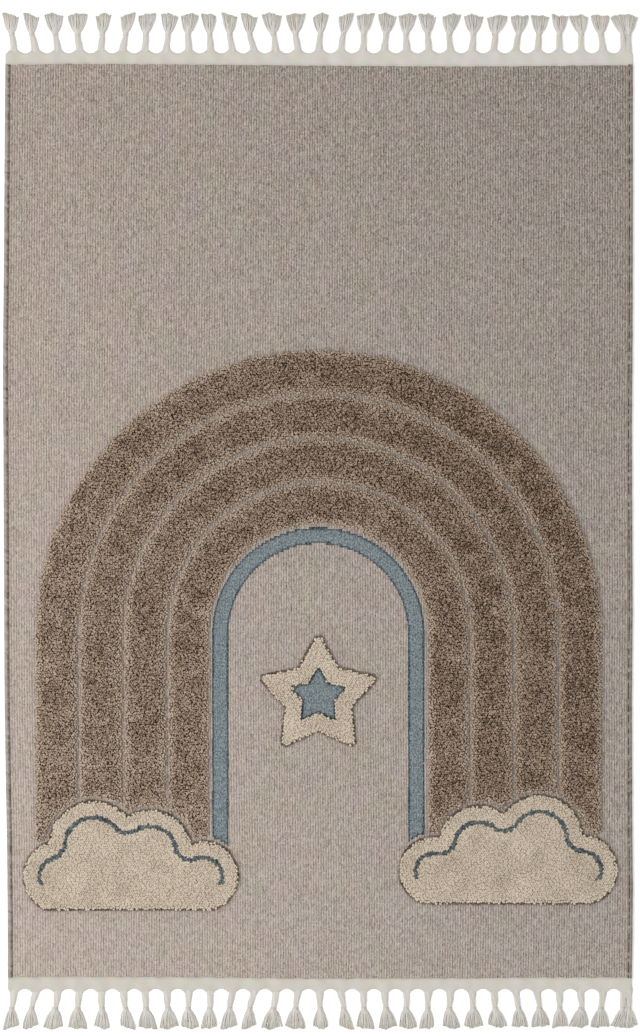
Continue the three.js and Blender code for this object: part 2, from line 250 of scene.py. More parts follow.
def grid_quads(index):
    """Quads of a grid of point numbers, facing up where x runs with columns and y with rows."""
    corners = (index[:-1, :-1], index[:-1, 1:], index[1:, 1:], index[1:, :-1])
    return np.stack(corners, -1).reshape(-1, 4)


# Making a piece

# Margins on a map: round a flat one, along and across the cell of a tube, and beside the rows that
# a long strip is folded into
FLAT_MARGIN = 0.01
TUBE_MARGINS = (0.04, 0.1)
STRIP_MARGIN = 0.04

# A strip's rows, how much of the map they take, and the size of its ends, which lie above them
STRIP_ROWS = 8
STRIP_LONG = 0.98
STRIP_HIGH = 0.97
STRIP_END = 0.01

# From where to where up its map each part of a piece lies: the ground, pile without and with an
# outline, and tassels
TOP_ROWS = (0, 0.87)
UNDERSIDE_ROWS = (0.87, 1)
BED_ROWS = (0, 0.16)
TUFT_ROWS = (0.16, 1)
OUTLINE_ROWS = (0.16, 0.36)
OUTLINED_ROWS = (0.36, 1)
STEM_ROWS = (0, 0.24)
YARN_ROWS = (0.24, 1)
STEM_COLUMNS = 5
YARN_COLUMNS = 10

# Part of a piece: its points, its faces in groups of one number of corners, whether each group is
# smooth, the shade of each point, and the place on the map of each corner of each face
Part = namedtuple("Part", "points faces smooth tones places")


def add_object(name, data):
    made = bpy.data.objects.new(name, data)
    bpy.context.collection.objects.link(made)
    return made


def make_piece(name, part, cloth, node="rug_cloth"):
    """A mesh that rides on the rug and stands for this node."""
    mesh = bpy.data.meshes.new(name)
    points = (part.points + (SHIFT_X, 0, 0)) * MM
    mesh.from_pydata(points, [], [face for group in part.faces for face in group.tolist()])
    smooth = np.repeat(part.smooth, [len(group) for group in part.faces])
    mesh.polygons.foreach_set("use_smooth", smooth)
    tones = mesh.attributes.new("tone", "FLOAT", "POINT")
    tones.data.foreach_set("value", part.tones.astype(np.float32))
    places = mesh.uv_layers.new(name="OFBake", do_init=False)
    places.uv.foreach_set("vector", part.places.astype(np.float32).ravel())
    mesh.materials.append(cloth.material)
    piece = add_object(name, mesh)
    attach(piece, "root")
    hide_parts(node)
    return piece


def inset(share, margin):
    """A place that lies this share of the way from one margin to the other."""
    return margin + (1 - 2 * margin) * share


def on_rows(places, low, high):
    """Places of a map, moved to the rows of it from low to high."""
    return places * (1, high - low) + (0, low)


def flat_map(points, faces):
    """Each corner's place on a map that looks straight down."""
    plan = points[:, :2]
    places = inset((plan - plan.min(0)) / np.ptp(plan, axis=0), FLAT_MARGIN)
    return np.concatenate([places[group.ravel()] for group in faces])


def trimmed(points, faces):
    """Only the points that the faces use, the faces with their new numbers, and the old ones."""
    used = np.unique(np.concatenate([group.ravel() for group in faces]))
    number = np.zeros(len(points), int)
    number[used] = np.arange(len(used))
    return points[used], [number[group] for group in faces], used


def joined(parts, rows):
    """One part from several, whose maps become these rows of its own."""
    firsts = np.cumsum([0, *(len(part.points) for part in parts)])
    return Part(
        np.concatenate([part.points for part in parts]),
        [group + first for part, first in zip(parts, firsts) for group in part.faces],
        [smooth for part in parts for smooth in part.smooth],
        np.concatenate([part.tones for part in parts]),
        np.concatenate([on_rows(part.places, *row) for part, row in zip(parts, rows)]),
    )


def shell_part(points, tones, ends, end_places, walls, corners, flip):
    """Flat ends and smooth walls, all turned over where flip says so."""
    if flip:
        walls, corners = walls[::-1], corners[::-1]
        ends, end_places = ends[:, ::-1], end_places[:, ::-1]
    faces = [ends, np.stack(walls, -1).reshape(-1, 4)]
    places = [end_places.reshape(-1, 2), np.stack(corners, -2).reshape(-1, 2)]
    points = points.reshape(-1, 3)
    return Part(points, faces, [False, True], tones.ravel(), np.concatenate(places))


def tube_part(points, tones, columns, flip=False):
    """Closed tubes from their points by tube, station and corner. On the map the tubes lie side
    by side in this many columns."""
    count, stations, sides, _ = points.shape
    index = np.arange(count * stations * sides).reshape(count, stations, sides)
    following = np.roll(index, -1, axis=2)
    walls = [index[:, :-1], index[:, 1:], following[:, 1:], following[:, :-1]]
    ends = np.concatenate([index[:, 0], index[:, -1, ::-1]])
    tube = np.arange(count)[:, None, None]
    step = np.linspace(0, 1, stations)[:, None]
    turn = np.linspace(0, 1, sides + 1)
    u = (tube % columns + inset(step, TUBE_MARGINS[0])) / columns + 0 * turn
    v = (tube // columns + inset(turn, TUBE_MARGINS[1])) / ceil(count / columns) + 0 * step
    place = np.stack([u, v], -1)
    corners = [place[:, :-1, :-1], place[:, 1:, :-1], place[:, 1:, 1:], place[:, :-1, 1:]]
    end_places = np.concatenate([place[:, 0, :-1], place[:, -1, -2::-1]])
    tones = np.broadcast_to(tones, index.shape)
    return shell_part(points, tones, ends, end_places, walls, corners, flip)


def strip_part(points, tones, flip=False):
    """One long closed strip from its points by station and place around it. On the map it is
    folded into rows, with its two ends above them."""
    stations, around, _ = points.shape
    index = np.arange(stations * around).reshape(stations, around)
    following = np.roll(index, -1, axis=1)
    walls = [index[:-1], following[:-1], following[1:], index[1:]]
    ends = np.stack([index[0, ::-1], index[-1]])
    step = np.arange(stations - 1)[:, None] * STRIP_ROWS / (stations - 1)
    row = np.floor(step)
    ring = np.arange(around)
    near = (step - row + 0 * ring) * STRIP_LONG
    far = near + STRIP_LONG * STRIP_ROWS / (stations - 1)
    low, high = (
        (row + inset((ring + more) / around, STRIP_MARGIN)) * STRIP_HIGH / STRIP_ROWS
        for more in (0, 1)
    )
    corners = [(near, low), (near, high), (far, high), (far, low)]
    corners = [np.stack(corner, -1) for corner in corners]
    angles = tau * ring / around
    end_places = STRIP_END * np.stack([np.cos(angles), np.sin(angles)], -1)
    end_places = np.stack([end_places, end_places]) + (0.5, (1 + STRIP_HIGH) / 2)
    return shell_part(points, tones, ends, end_places, walls, corners, flip)


# Materials


class Cloth:
    """The material of one fabric, built up from the object's own coordinates."""

    def __init__(self, slot, roughness, sheen, tint):
        self.slot = slot
        self.material = bpy.data.materials.new(slot)
        self.material.use_nodes = True
        self.tree = self.material.node_tree
        self.tree.nodes.clear()
        self.coordinates = self.add("TexCoord").outputs["Object"]
        settings = {
            "Roughness": roughness,
            "Specular IOR Level": 0.15,
            "Sheen Weight": sheen,
            "Sheen Roughness": 0.6,
            "Sheen Tint": (*tint, 1),
        }
        self.shader = self.add("BsdfPrincipled", settings)
        self.add("OutputMaterial", {"Surface": self.shader.outputs["BSDF"]})

    def add(self, kind, inputs=None, **settings):
        """A node of this kind, each of whose inputs is set to a number or linked to a socket."""
        made = self.tree.nodes.new("ShaderNode" + kind)
        for name, value in settings.items():
            setattr(made, name, value)
        for name, value in (inputs or {}).items():
            if isinstance(value, bpy.types.NodeSocket):
                self.tree.links.new(value, made.inputs[name])
            else:
                made.inputs[name].default_value = value
        return made

    def stretched(self, cell):
        """Coordinates in which a cell of these sizes, in millimetres, is one unit."""
        scale = [1 / (size * MM) for size in cell]
        mapping = self.add("Mapping", {"Scale": scale, "Vector": self.coordinates})
        return mapping.outputs["Vector"]

    def noise(self, cell, detail=1.0, roughness=0.5):
        inputs = {"Scale": 1, "Detail": detail, "Roughness": roughness}
        inputs["Vector"] = self.stretched(cell)
        return self.add("TexNoise", inputs).outputs["Fac"]

    def tone(self):
        return self.add("Attribute", attribute_name="tone").outputs["Fac"]

    def figure(self, operation, *values):
        return self.add("Math", dict(enumerate(values)), operation=operation).outputs[0]

    def across(self, value, share):
        """value plus a share that rises by one from the rug's left side to its right."""
        place = self.add("SeparateXYZ", {"Vector": self.stretched([RUG_WIDTH] * 3)})
        return self.figure("MULTIPLY_ADD", place.outputs["X"], share, value)

    def sum(self, first, share, second):
        """first plus a share of how far second is from its middle."""
        centred = self.figure("SUBTRACT", second, 0.5)
        return self.figure("MULTIPLY_ADD", centred, share, first)

    def ramp(self, value, *stops):
        """The colour for a value, from stops of a place and a colour."""
        made = self.add("ValToRGB", {"Fac": value})
        elements = made.color_ramp.elements
        elements.remove(elements[0])
        for number, (place, *colour) in enumerate(stops):
            stop = elements.new(place) if number else elements[0]
            stop.position = place
            stop.color = (*colour, 1)
        return made.outputs["Color"]

    def patches(self, colour, cell, first, second, share=0):
        """The colour in soft patches of two hues, with a share that drifts across the rug."""
        place = self.across(self.noise(cell, detail=2.0), share)
        hue = self.ramp(place, (0.36, *first), (0.64, *second))
        inputs = {"Factor": 1, "A": colour, "B": hue}
        return self.add("Mix", inputs, data_type="RGBA", blend_type="MULTIPLY").outputs["Result"]

    def finish(self, colour, height, strength, distance):
        """Sets the colour and a bump of a distance in millimetres."""
        inputs = {"Strength": strength, "Distance": distance * MM, "Height": height}
        normal = self.add("Bump", inputs).outputs["Normal"]
        self.tree.links.new(colour, self.shader.inputs["Base Color"])
        self.tree.links.new(normal, self.shader.inputs["Normal"])
        return self


def ground_weave():
    """Heathered ribs: light and dark fibres along each rib, in large soft patches of two hues."""
    cloth = Cloth("ground_weave", roughness=0.95, sheen=0.12, tint=(0.9, 0.85, 0.8))
    grain = cloth.noise((RIB_PITCH * 0.55, 7.5, 7.5), detail=1.5, roughness=0.6)
    fleck = cloth.noise((RIB_PITCH * 0.35, 3.2, 3.2))
    value = cloth.sum(grain, 1.05, fleck)
    value = cloth.sum(value, 0.35, cloth.tone())
    colour = cloth.ramp(
        value,
        (0.14, 0.081, 0.065, 0.055),
        (0.38, 0.194, 0.167, 0.150),
        (0.56, 0.271, 0.237, 0.217),
        (1.0, 0.464, 0.413, 0.385),
    )
    colour = cloth.patches(colour, (46, 60, 60), (0.97, 0.985, 0.965), (1, 0.95, 0.965), share=-0.22)
    colour = cloth.patches(colour, (57, 72, 57), (1, 1, 0.93), (1, 1, 1), share=0.18)
    return cloth.finish(colour, fleck, strength=0.6, distance=0.8)


def pile(slot, tint, fibre_share, stops):
    """Tufts of one yarn: each tuft's tone, painted shade and highlight included, with finer fibres
    in it.
    """
    cloth = Cloth(slot, roughness=0.97, sheen=0.15, tint=tint)
    fibre = cloth.noise((3.6, 1.9, 3.0), detail=1.5, roughness=0.6)
    value = cloth.sum(cloth.tone(), fibre_share, fibre)
    value = cloth.sum(value, 0.3, cloth.noise((70, 70, 70), detail=2.0))
    return cloth.finish(cloth.ramp(value, *stops), fibre, strength=0.5, distance=0.6)


def brown_pile():
    return pile(
        "brown_pile",
        tint=(0.75, 0.65, 0.55),
        fibre_share=1.2,
        stops=(
            (0.0, 0.027, 0.015, 0.008),
            (0.3, 0.106, 0.068, 0.046),
            (0.55, 0.255, 0.184, 0.133),
            (1.0, 0.440, 0.354, 0.280),
        ),
    )


def cream_pile():
    return pile(
        "cream_pile",
        tint=(1.0, 0.93, 0.82),
        fibre_share=0.35,
        stops=(
            (0.0, 0.080, 0.056, 0.036),
            (0.3, 0.305, 0.248, 0.188),
            (0.6, 0.480, 0.412, 0.328),
            (1.0, 0.608, 0.536, 0.441),
        ),
    )


def blue_weave():
    """Flat weave of pale steel and darker slate yarns."""
    cloth = Cloth("blue_weave", roughness=0.95, sheen=0.1, tint=(0.8, 0.88, 0.95))
    fleck = cloth.noise((RIB_PITCH * 0.5, 3.4, 3.4), detail=1.5, roughness=0.6)
    colour = cloth.ramp(
        cloth.sum(cloth.tone(), 1.45, fleck),
        (0.0, 0.010, 0.019, 0.024),
        (0.3, 0.072, 0.098, 0.111),
        (0.55, 0.166, 0.196, 0.208),
        (0.95, 0.315, 0.353, 0.361),
    )
    return cloth.finish(colour, fleck, strength=0.6, distance=0.8)


def edging_yarn():
    cloth = Cloth("edging_yarn", roughness=0.95, sheen=0.1, tint=(0.9, 0.85, 0.8))
    fleck = cloth.noise((2.4, 2.0, 2.4), detail=2.0, roughness=0.6)
    colour = cloth.ramp(
        cloth.sum(cloth.tone(), 0.7, fleck),
        (0.0, 0.045, 0.035, 0.029),
        (0.12, 0.112, 0.088, 0.071),
        (0.35, 0.204, 0.176, 0.152),
        (0.6, 0.294, 0.268, 0.239),
        (1.0, 0.44, 0.405, 0.365),
    )
    return cloth.finish(colour, fleck, strength=0.6, distance=0.6)


def tassel_yarn():
    cloth = Cloth("tassel_yarn", roughness=0.9, sheen=0.15, tint=(1.0, 0.98, 0.94))
    fibre = cloth.noise((1.1, 1.8, 1.1), detail=2.0, roughness=0.6)
    colour = cloth.ramp(
        cloth.sum(cloth.tone(), 0.35, fibre),
        (0.0, 0.185, 0.166, 0.133),
        (0.4, 0.408, 0.385, 0.336),
        (0.7, 0.524, 0.504, 0.474),
        (1.0, 0.616, 0.601, 0.581),
    )
    colour = cloth.patches(colour, (32, 32, 32), (1, 0.97, 0.99), (0.96, 0.99, 0.99))
    colour = cloth.patches(colour, (41, 41, 41), (1, 1, 0.94), (1, 1, 1))
    return cloth.finish(colour, fibre, strength=0.4, distance=0.4)


# The ground


def rib_columns(y):
    """Places across the ground at a height y along it, and each one's depth in its rib."""
    edging = EDGING_WIDTH + PIECE_GAP
    left, right = side_edge(y, -1) + edging, side_edge(y, 1) - edging
    ribs = round((side_edge(0, 1) - side_edge(0, -1) - 2 * edging) / RIB_PITCH)
    last = ribs * len(RIB_PROFILE)
    drop = np.resize(RIB_PROFILE, last + 1)
    drop[[0, -1]] = RIB_PROFILE[1]
    return left + np.arange(last + 1) / last * (right - left), drop


def ground_height(x, y, drop):
    wave = GROUND_WAVE * waves(x, y, length=90, seed=3)
    return GROUND_THICK - RIB_DEPTH * drop + wave


def ground_part():
    """Closed sheet with ribs on top and a plain underside."""
    end = CLOTH_LENGTH / 2
    y = np.linspace(-end + END_ROW, end - END_ROW, GROUND_ROWS - 1)
    y = np.concatenate([[-end], y, [end]])[:, None]
    x, drop = rib_columns(y)
    z = ground_height(x, y, drop)
    y = y + 0 * x
    for side in (-1, 1):
        near_end = np.clip(side * y / end, 0, 1) ** END_FADE
        y = y + side * near_end * (end_line(x, side) - end)
    top = np.stack([x, y, z], -1).reshape(-1, 3)
    index = np.arange(x.size).reshape(x.shape)
    below = index + x.size
    # Painted shade: darker in the grooves between the ribs, away from the key light and beside the
    # left edging
    tone = GROUND_TONE - drop - GROUND_PAINTED_SHADE_RIGHT * x / RUG_WIDTH
    tone = tone - GROUND_PAINTED_SHADE_UP * y / CLOTH_LENGTH
    tone = tone - EDGING_PAINTED_SHADOW * np.exp((x[:, :1] - x) / BESIDE_EDGING)
    tones = np.concatenate([tone.ravel(), np.full(x.size, UNDERSIDE_TONE)])

    def wall(over):
        under = over + x.size
        return np.stack([under[:-1], under[1:], over[1:], over[:-1]], -1)

    walls = [wall(index[0]), wall(index[-1, ::-1])[::-1]]
    walls += [wall(index[::-1, 0])[::-1], wall(index[:, -1])]
    # The underside is flat, so each column of it is one long face
    middle = np.stack([below[0, 1:-2], below[-1, 1:-2], below[-1, 2:-1], below[0, 2:-1]], -1)
    left = np.concatenate([below[:, 0], [below[-1, 1], below[0, 1]]])[None]
    right = np.concatenate([[below[0, -2], below[-1, -2]], below[::-1, -1]])[None]
    faces = [middle, left, right, *walls, grid_quads(index)]
    points, faces, used = trimmed(np.concatenate([top, top * (1, 1, 0)]), faces)
    smooth = [False] * (len(faces) - 1) + [True]
    under = on_rows(flat_map(points, faces[:-1]), *UNDERSIDE_ROWS)
    over = on_rows(flat_map(points, faces[-1:]), *TOP_ROWS)
    return Part(points, faces, smooth, tones[used], np.concatenate([under, over]))


# Where each part of the design lies: how far inside it a point is, below nought when outside


def arch_depth(x, y, band):
    radius = np.where(y > ARCH_CENTRE_Y, np.hypot(x, y - ARCH_CENTRE_Y), np.abs(x))
    foot = y - (ARCH_CENTRE_Y - ARCH_LEG)
    depth = np.minimum(np.minimum(band["outer"] - radius, radius - band["inner"]), foot)
    for cloud in CLOUDS:
        depth = np.minimum(depth, -cloud_depth(x, y, cloud) - CARVED_CHANNEL)
    return depth


def cloud_depth(x, y, cloud):
    """Lobes joined by a block under them, all cut off level at the base."""
    across = x - cloud["x"]
    along = y - cloud["y"]
    lobes = cloud["lobes"]
    block = np.minimum(np.minimum(across - lobes[0][0], lobes[-1][0] - across), -along)
    reaches = [radius - np.hypot(across - lx, along - ly) for lx, ly, radius in lobes]
    return np.minimum(np.maximum.reduce([block, *reaches]), along + cloud["base"])


def star_depth(x, y, share):
    """Distance inside the star at a share of its size, taken square to its edges."""
    place = np.stack([x - STAR_X, y - STAR_Y], -1)
    distance = np.hypot(place[..., 0], place[..., 1])
    corners = np.arange(STAR_POINTS * 2 + 1)
    turns = pi / 2 + pi * corners / STAR_POINTS
    reach = np.where(corners % 2 == 0, STAR_TIP, STAR_NOTCH) * share
    outline = np.stack([reach * np.cos(turns), reach * np.sin(turns)], -1)
    nearest = np.inf
    for start, end in zip(outline[:-1], outline[1:]):
        side = end - start
        part = np.clip((place - start) @ side / (side @ side), 0, 1)
        gap = np.linalg.norm(place - start - part[..., None] * side, axis=-1)
        nearest = np.minimum(nearest, gap)
    # How far the star reaches in the direction of each place
    half = pi / STAR_POINTS
    turned = (np.arctan2(place[..., 1], place[..., 0]) - pi / 2) % (2 * half)
    off = np.minimum(turned, 2 * half - turned)
    edge = STAR_TIP * np.sin(off) + STAR_NOTCH * np.sin(half - off)
    straight = STAR_TIP * STAR_NOTCH * sin(half) / edge
    blunt = STAR_TIP * STAR_BLUNT
    inside = distance < np.minimum(straight, blunt) * share
    return np.minimum(np.where(inside, nearest, -nearest), blunt * share - distance)


def star_frame_depth(x, y):
    return np.minimum(star_depth(x, y, 1), -star_depth(x, y, STAR_HOLLOW))


def cloud_line_depth(x, y, cloud):
    """Distance inside the line that echoes the lobes of a cloud."""
    turns = np.arange(0, tau, LOBE_STEP)
    lobes = np.array(cloud["lobes"])[:, :, None]
    edge_x = (cloud["x"] + lobes[:, 0] + lobes[:, 2] * np.cos(turns)).ravel()
    edge_y = (cloud["y"] + lobes[:, 1] + lobes[:, 2] * np.sin(turns)).ravel()
    bare = cloud_depth(edge_x, edge_y, cloud) < LOBE_BARE
    gaps = np.hypot(x[:, None] - edge_x[bare], y[:, None] - edge_y[bare]).min(1)
    line = CLOUD_LINE_WIDTH / 2 - np.abs(gaps - CLOUD_LINE_DEPTH)
    return np.minimum(line, y - cloud["y"] - CLOUD_LINE_ABOVE)


# Pile

# How far a tuft's root and head reach from the middle of its cell of the map
CELL_ROOT = 0.49
CELL_HEAD = 0.36

# Over what distance the slope at the rim is taken, and the least that it is divided by
SLOPE_STEP = 0.5
SLOPE_LEAST = 1e-6


def places_in(depth, box, yarn, rng):
    """Uneven close-packed places inside by the yarn's inset, and a few strays further out."""
    low_x, low_y, high_x, high_y = box
    pitch = yarn["pitch"]
    row = pitch * sqrt(3) / 2
    rows = int((high_y - low_y) / row)
    columns = int((high_x - low_x) / pitch)
    down, along = np.mgrid[0:rows, 0:columns]
    x = low_x + pitch * (along + (down % 2) / 2)
    y = low_y + row * down
    stray = yarn["place_stray"] * pitch
    x = (x + rng.uniform(-stray, stray, x.shape)).ravel()
    y = (y + rng.uniform(-stray, stray, y.shape)).ravel()
    keep = depth(x, y) > yarn["inset"] - rng.exponential(yarn["ragged"], x.shape)
    return x[keep], y[keep]


def tuft_part(x, y, depth, yarn, rng):
    """Tufts at these places: upright inside, and shorter and splayed at the rim, where a painted
    sheen makes them paler.
    """
    count = len(x)
    sides = yarn["sides"]
    rim = np.clip(1 - depth(x, y) / yarn["rim"], 0, yarn["rim_most"])
    slope_x = depth(x - SLOPE_STEP, y) - depth(x + SLOPE_STEP, y)
    slope_y = depth(x, y - SLOPE_STEP) - depth(x, y + SLOPE_STEP)
    slope = np.stack([slope_x, slope_y], -1)
    slope /= np.maximum(np.linalg.norm(slope, axis=-1, keepdims=True), SLOPE_LEAST)
    lean = slope * (yarn["splay"] * rim**1.5 * rng.uniform(*yarn["leans"], count))[:, None]
    lean = lean + rng.normal(0, yarn["stray"], (count, 2))
    lumps = waves(x, y, yarn["lump_length"], yarn["seed"]) * yarn["lump"]
    top = yarn["top"] + lumps + rng.normal(0, yarn["uneven"], count) - yarn["fall"] * rim**2
    turn = rng.uniform(0, tau, count)[:, None] + tau * np.arange(sides) / sides
    ring = np.stack([np.cos(turn), np.sin(turn)], -1)
    wide = yarn["radius"] * rng.uniform(*yarn["widths"], (count, 1, 1))
    wide = wide * rng.uniform(*yarn["corners"], (count, sides, 1))
    place = np.stack([x, y], -1)[:, None]
    lean = lean[:, None]
    rings = [place + ring * wide * yarn["root_width"], place + lean + ring * wide]
    plan = np.concatenate([*rings, place + lean * yarn["tip_lean"]], 1)
    root_z = np.full((count, sides), PILE_ROOT)
    head_z = (top - yarn["crown"])[:, None] + rng.normal(0, yarn["head_uneven"], (count, sides))
    head_z = np.maximum(head_z, GROUND_THICK + yarn["head_least"])
    tip_z = np.maximum(top, GROUND_THICK + yarn["tip_least"])[:, None]
    height = np.concatenate([root_z, head_z, tip_z], 1)
    points = np.concatenate([plan, height[..., None]], -1)
    # Random speckle, and a painted sheen that makes the tufts at the rim paler
    tone = yarn["tone"] + rng.normal(0, yarn["speckle"], count) + yarn["rim_painted_sheen"] * rim
    tone = tone + yarn["shade"] * waves(x, y, yarn["shade_length"], yarn["seed"] + 1)
    # Painted shade: the pile is darker away from the key light at the left and bottom
    tone = tone - yarn["pile_painted_shade_right"] * x / RUG_WIDTH - yarn["pile_painted_shade_up"] * y / CLOTH_LENGTH
    # Painted shade at the roots, less of it at the rim, and on the heads, and a painted highlight on
    # the tips
    root = yarn["root_painted_shade"] + yarn["root_pale"] * rim
    tones = [root] * sides + [tone - yarn["head_painted_shade"]] * sides + [tone + yarn["tip_painted_highlight"]]
    first = (np.arange(count) * (2 * sides + 1))[:, None]
    around = np.arange(sides)
    after = (around + 1) % sides
    tip = np.full(sides, 2 * sides)
    walls = np.stack([around, after, after + sides, around + sides], -1) + first[..., None]
    caps = np.stack([around + sides, after + sides, tip], -1) + first[..., None]
    # On the map each tuft is opened out flat in its own cell, with its root outermost
    columns = ceil(sqrt(count))
    centre = np.stack(np.divmod(np.arange(count), columns)[::-1], -1)[:, None] + 0.5
    places = np.concatenate([centre + ring * CELL_ROOT, centre + ring * CELL_HEAD, centre], 1)
    places = places.reshape(-1, 2) / columns
    corners = [first + around, walls, caps]
    return Part(
        points.reshape(-1, 3),
        [first + around[::-1], walls.reshape(-1, 4), caps.reshape(-1, 3)],
        [False, True, True],
        np.column_stack(tones).ravel(),
        np.concatenate([places[group.ravel()] for group in corners]),
    )


def cell_slab(x, y, low, top, depth, least):
    """Closed slab over the cells of a grid whose middles lie this far inside, and its faces."""
    rows, columns = x.shape
    middle_x, middle_y = ((grid[:-1, :-1] + grid[1:, 1:]) / 2 for grid in (x, y))
    mask = depth(middle_x, middle_y) > least
    index = np.arange(x.size).reshape(x.shape)
    quads = grid_quads(index).reshape(rows - 1, columns - 1, 4)
    upper = quads[mask]
    padded = np.pad(mask, 1)
    neighbours = (padded[:-2, 1:-1], padded[1:-1, 2:], padded[2:, 1:-1], padded[1:-1, :-2])
    walls = []
    for side, neighbour in enumerate(neighbours):
        edge = quads[mask & ~neighbour]
        here = edge[:, side]
        there = edge[:, (side + 1) % 4]
        walls.append(np.stack([here + x.size, there + x.size, there, here], -1))
    faces = np.concatenate([upper, upper[:, ::-1] + x.size, *walls])
    points = [np.stack([x, y, z + 0 * x], -1).reshape(-1, 3) for z in (top, low)]
    points, faces, _ = trimmed(np.concatenate(points), [faces])
    return points, faces


def bed_part(depth, box, yarn):
    """The dense foot of the pile, painted dark as the shade between the tufts."""
    low_x, low_y, high_x, high_y = box
    cell = yarn["bed_cell"]
    x, y = np.meshgrid(np.arange(low_x, high_x, cell), np.arange(low_y, high_y, cell))
    rim = np.clip(1 - depth(x, y) / yarn["rim"], 0, 1)
    height = yarn["top"] - yarn["bed_drop"] - (yarn["fall"] + yarn["bed_fall"]) * rim**2
    height = np.maximum(height, GROUND_THICK + yarn["bed_least"])
    points, faces = cell_slab(x, y, PILE_ROOT, height, depth, yarn["bed_in"])
    rim = np.clip(1 - depth(points[:, 0], points[:, 1]) / yarn["rim"], 0, 1)
    tones = yarn["root_painted_shade"] + yarn["root_pale"] * rim
    return Part(points, faces, [False], tones, flat_map(points, faces))


def shadow_line_part(depth, box, rng):
    """Dark tufts all round the edge of a piece of pile, as a painted shadow round it."""

    def edge_depth(x, y):
        return OUTLINE_HALF - np.abs(depth(x, y) - OUTLINE_AT)

    x, y = places_in(edge_depth, box, SHADOW_LINE_YARN, rng)
    return tuft_part(x, y, edge_depth, SHADOW_LINE_YARN, rng)


def pile_part(x, y, depth, box, yarn, rng, outline=None):
    """A piece of pile: its bed, its tufts at these places and, where it has an outline, the dark
    tufts of painted shadow along that."""
    parts = [bed_part(depth, box, yarn), tuft_part(x, y, depth, yarn, rng)]
    if outline is None:
        return joined(parts, [BED_ROWS, TUFT_ROWS])
    parts.append(shadow_line_part(outline, box, rng))
    return joined(parts, [BED_ROWS, OUTLINED_ROWS, OUTLINE_ROWS])


# Tufts of the brown pile: where they stand, their sizes, how they differ, what becomes of them
# towards the rim, their tones with painted shade, sheen and highlight, and the bed they stand in
BROWN_YARN = dict(
    seed=11,
    pitch=4.0,
    place_stray=0.24,
    inset=1.8,
    ragged=1.5,
    sides=3,
    radius=2.9,
    widths=(0.82, 1.2),
    corners=(0.85, 1.15),
    root_width=0.75,
    top=ARCH_TOP,
    crown=0.65,
    tip_lean=1.2,
    head_least=0.6,
    tip_least=1.2,
    lump=0.5,
    lump_length=38,
    uneven=0.45,
    head_uneven=0.25,
    stray=0.5,
    rim=15,
    rim_most=1.5,
    fall=6.0,
    splay=2.8,
    leans=(0.3, 1.3),
    tone=0.53,
    head_painted_shade=0.03,
    tip_painted_highlight=0.05,
    speckle=0.11,
    shade=0.06,
    shade_length=60,
    pile_painted_shade_right=0.14,
    pile_painted_shade_up=0.14,
    rim_painted_sheen=0.4,
    root_painted_shade=0.03,
    root_pale=0.6,
    bed_cell=10.0,
    bed_in=3.0,
    bed_drop=3.8,
    bed_fall=1,
    bed_least=0.5,
)
CREAM_YARN = dict(
    BROWN_YARN,
    seed=21,
    inset=1.5,
    ragged=0.4,
    sides=5,
    radius=2.45,
    top=CREAM_TOP,
    crown=0.8,
    lump=0.4,
    uneven=0.3,
    stray=0.3,
    rim=6,
    fall=2.2,
    splay=1.6,
    tone=0.6,
    speckle=0.04,
    pile_painted_shade_right=0,
    pile_painted_shade_up=0,
    rim_painted_sheen=0.16,
    root_painted_shade=0.4,
    root_pale=0,
    bed_cell=8.0,
    bed_in=2.5,
    bed_drop=2.0,
)
STAR_YARN = dict(CREAM_YARN, bed_cell=4.0)
LINE_YARN = dict(
    CREAM_YARN,
    seed=31,
    top=CREAM_TOP - 0.3,
    tone=0.24,
    speckle=0.05,
    rim_painted_sheen=0,
    root_painted_shade=0.0,
)

# Short dark tufts that outline the cream pieces, as a painted shadow round their edges
SHADOW_LINE_YARN = dict(
    CREAM_YARN,
    seed=41,
    pitch=2.7,
    sides=3,
    radius=2.0,
    top=GROUND_THICK + 2.6,
    crown=0.5,
    lump=0,
    fall=0,
    splay=0,
    stray=0.2,
    tone=0.1,
    speckle=0.06,
    rim_painted_sheen=0,
    root_painted_shade=0,
    inset=0,
    ragged=0.2,
)
OUTLINE_AT = -0.9
OUTLINE_HALF = 1.7

# How far the boxes in which places are sought reach beyond their shapes
BOX_MARGIN = 8
STAR_BOX_MARGIN = 4


def box_of_band(band):
    reach = band["outer"] + BOX_MARGIN
    foot = ARCH_CENTRE_Y - ARCH_LEG - BOX_MARGIN
    return (-reach, foot, reach, ARCH_CENTRE_Y + reach)


def box_of_cloud(cloud):
    lobes = np.array(cloud["lobes"])
    low = (lobes[:, :2] - lobes[:, 2:]).min(0) - BOX_MARGIN
    high = (lobes[:, :2] + lobes[:, 2:]).max(0) + BOX_MARGIN
    return (cloud["x"] + low[0], cloud["y"] + low[1], cloud["x"] + high[0], cloud["y"] + high[1])


def box_of_star(reach):
    return (STAR_X - reach, STAR_Y - reach, STAR_X + reach, STAR_Y + reach)


def rainbow_pieces(cloth):
    made = []
    for number, band in enumerate(ARCH_BANDS):
        rng = np.random.default_rng(SEEDS["arch"] + number)
        depth = partial(arch_depth, band=band)
        box = box_of_band(band)
        x, y = places_in(depth, box, BROWN_YARN, rng)
        part = pile_part(x, y, depth, box, BROWN_YARN, rng)
        made.append(make_piece(f"pile_arch_{band['name']}", part, cloth))
    return made


